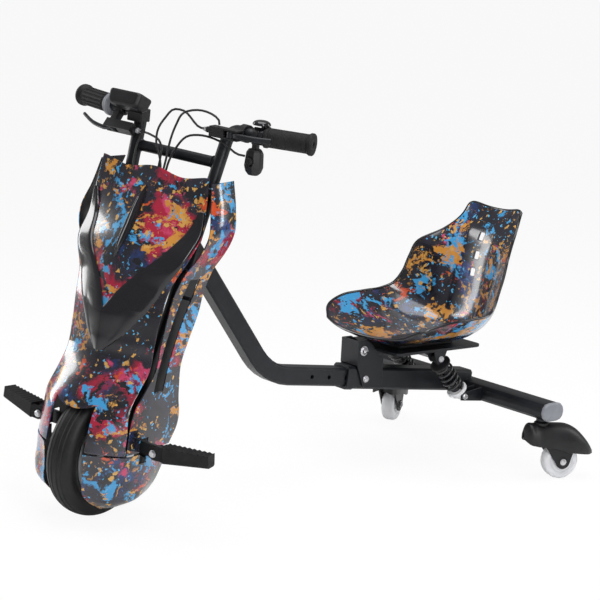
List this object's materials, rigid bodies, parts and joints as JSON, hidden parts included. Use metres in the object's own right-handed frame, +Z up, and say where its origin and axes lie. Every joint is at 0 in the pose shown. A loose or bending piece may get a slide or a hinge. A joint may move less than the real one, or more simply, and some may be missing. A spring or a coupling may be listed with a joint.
{
  "type": "three-wheel scooter",
  "caption": "Low drift scooter with a steered hub-motor front wheel under a moulded cover, a handlebar, a sprung bucket seat on a square tube and swivelling rear casters.",
  "frame": {"origin": "centre of the whole scooter's box, on the floor", "axes": "+Z up; +Y towards the back, so the front wheel points to -Y; +X towards the rider's left side"},
  "size_m": [0.6144, 1.1702, 0.7868],
  "materials": {
    "tyre": "smooth matte black rubber",
    "hub": "cast and machined, plain",
    "steel": "zinc plated",
    "black_frame": "satin black powder coat",
    "rubber": "matte black rubber",
    "splatter_cover": "charcoal with an abstract many-coloured splatter, glossy",
    "gloss_black": "high gloss black",
    "black_plastic": "fine-grained black",
    "grey_plastic": "plain light grey",
    "white_wheel": "hard off-white nylon",
    "spring_paint": "black painted spring wire"
  },
  "bodies": {
    "frame": {"main_beam": "black_frame", "headset_lower": "steel", "headset_upper": "steel", "rear_frame": "black_frame", "end_cap_left": "grey_plastic", "end_cap_right": "grey_plastic", "seat_bracket": "black_frame", "pivot_bolt": "steel", "length_bolt": "steel", "shock_bolt_low_left": "steel", "shock_bolt_low_right": "steel"},
    "front_unit": {"front_fork": "black_frame", "axle_and_nuts": "steel", "battery_pack": "black_plastic", "controller_box": "hub", "fairing_front": "splatter_cover", "side_panel_left": "splatter_cover", "side_panel_right": "splatter_cover", "wheel_cover_left": "splatter_cover", "wheel_cover_right": "splatter_cover", "chevron_trim": "gloss_black", "hood_blade": "gloss_black", "handlebar": "black_frame", "grip_left": "rubber", "throttle_housing": "black_plastic", "display_box": "black_plastic", "brake_perch_left": "black_frame", "brake_perch_right": "black_frame", "bell": "gloss_black", "horn_pod": "black_plastic", "cable_brake_left": "black_plastic", "cable_brake_switch": "black_plastic", "cable_horn": "black_plastic", "cable_brake_right": "black_plastic", "cable_throttle": "black_plastic", "footpeg_bolt_left": "steel", "footpeg_bolt_right": "steel"},
    "front_wheel": {"tyre": "tyre", "hub_motor": "hub"},
    "throttle": {"throttle_grip": "rubber"},
    "lever_left": {"brake_lever_left": "black_frame"},
    "lever_right": {"brake_lever_right": "black_frame"},
    "horn_key": {"horn_button": "black_plastic"},
    "peg_left": {"footpeg_left": "rubber"},
    "peg_right": {"footpeg_right": "rubber"},
    "seat": {"seat_plate": "black_frame", "seat_shell": "splatter_cover", "shock_bolt_upper": "steel"},
    "shock_low_left": {"shock_body_left": "hub", "shock_spring_left": "spring_paint"},
    "shock_low_right": {"shock_body_right": "hub", "shock_spring_right": "spring_paint"},
    "shock_top_left": {"shock_rod_left": "steel"},
    "shock_top_right": {"shock_rod_right": "steel"},
    "caster_left": {"caster_fork_left": "black_plastic", "caster_bolt_left": "steel"},
    "caster_right": {"caster_fork_right": "black_plastic", "caster_bolt_right": "steel"},
    "caster_roller_left": {"caster_wheel_left": "white_wheel"},
    "caster_roller_right": {"caster_wheel_right": "white_wheel"}
  },
  "joints": [
    {"name": "steering", "type": "hinge", "parent": "frame", "child": "front_unit", "pos_m": [0.00575, -0.30414, 0.5342], "axis": [0, 0.2588, 0.9659], "range_deg": [-57.5, 22.5]},
    {"name": "front_wheel_spin", "type": "hinge", "parent": "front_unit", "child": "front_wheel", "pos_m": [0.02079, -0.46326, 0.1246], "axis": [0.9537, 0.2905, -0.0778], "continuous": true},
    {"name": "throttle_twist", "type": "hinge", "parent": "front_unit", "child": "throttle", "pos_m": [-0.20316, -0.35527, 0.75574], "axis": [-0.997, 0.0045, 0.0778], "range_deg": [0, 60], "stiffness_Nm_per_rad": 0.5, "springref_deg": -20.05},
    {"name": "brake_left", "type": "hinge", "parent": "front_unit", "child": "lever_left", "pos_m": [0.16707, -0.30084, 0.72494], "axis": [0.0879, -0.0218, 0.9959], "range_deg": [0, 10], "stiffness_Nm_per_rad": 8, "springref_deg": -5.73},
    {"name": "brake_right", "type": "hinge", "parent": "front_unit", "child": "lever_right", "pos_m": [-0.10441, -0.37641, 0.71293], "axis": [0.2725, -0.7255, 0.6319], "range_deg": [-10, 0], "stiffness_Nm_per_rad": 8, "springref_deg": 5.73},
    {"name": "horn_press", "type": "slide", "parent": "front_unit", "child": "horn_key", "axis": [-0.2905, 0.9568, 0.0116], "range_m": [0, 0.0025], "stiffness_N_per_m": 400, "springref_m": -0.002},
    {"name": "peg_fold_left", "type": "hinge", "parent": "front_unit", "child": "peg_left", "pos_m": [0.15999, -0.42811, 0.14994], "axis": [0.2905, -0.9568, -0.0116], "range_deg": [0, 80]},
    {"name": "peg_fold_right", "type": "hinge", "parent": "front_unit", "child": "peg_right", "pos_m": [-0.10896, -0.51002, 0.17189], "axis": [-0.2905, 0.9568, 0.0116], "range_deg": [0, 80]},
    {"name": "seat_rock", "type": "hinge", "parent": "frame", "child": "seat", "pos_m": [0.00575, 0.1605, 0.2572], "axis": [1, 0, 0], "range_deg": [-4, 0], "stiffness_Nm_per_rad": 2400, "springref_deg": 0.29},
    {"name": "shock_swing_left", "type": "hinge", "parent": "frame", "child": "shock_low_left", "pos_m": [0.07575, 0.4035, 0.1462], "axis": [1, 0, 0], "range_deg": [-0.2, 5]},
    {"name": "shock_swing_right", "type": "hinge", "parent": "frame", "child": "shock_low_right", "pos_m": [-0.06425, 0.4035, 0.1462], "axis": [1, 0, 0], "range_deg": [-0.2, 5]},
    {"name": "shock_travel_left", "type": "slide", "parent": "shock_low_left", "child": "shock_top_left", "axis": [0, -0.6543, 0.7563], "range_m": [-0.0075, 0.0005], "deforming": ["shock_spring_left"]},
    {"name": "shock_travel_right", "type": "slide", "parent": "shock_low_right", "child": "shock_top_right", "axis": [0, -0.6543, 0.7563], "range_m": [-0.0075, 0.0005], "deforming": ["shock_spring_right"]},
    {"name": "swivel_left", "type": "hinge", "parent": "frame", "child": "caster_left", "pos_m": [0.25075, 0.4725, 0.1202], "axis": [0, 0, 1], "continuous": true},
    {"name": "caster_spin_left", "type": "hinge", "parent": "caster_left", "child": "caster_roller_left", "pos_m": [0.26836, 0.51608, 0.0387], "axis": [0.9272, -0.3746, 0], "continuous": true},
    {"name": "swivel_right", "type": "hinge", "parent": "frame", "child": "caster_right", "pos_m": [-0.23925, 0.4725, 0.1202], "axis": [0, 0, 1], "continuous": true},
    {"name": "caster_spin_right", "type": "hinge", "parent": "caster_right", "child": "caster_roller_right", "pos_m": [-0.26275, 0.5132, 0.0387], "axis": [0.866, 0.5, 0], "continuous": true}
  ],
  "couplings": [
    {"joint": "shock_swing_left", "follows": "seat_rock", "ratio": -1.1494},
    {"joint": "shock_travel_left", "follows": "seat_rock", "m_per_rad": 0.1031},
    {"joint": "shock_swing_right", "follows": "seat_rock", "ratio": -1.1494},
    {"joint": "shock_travel_right", "follows": "seat_rock", "m_per_rad": 0.1031}
  ]
}
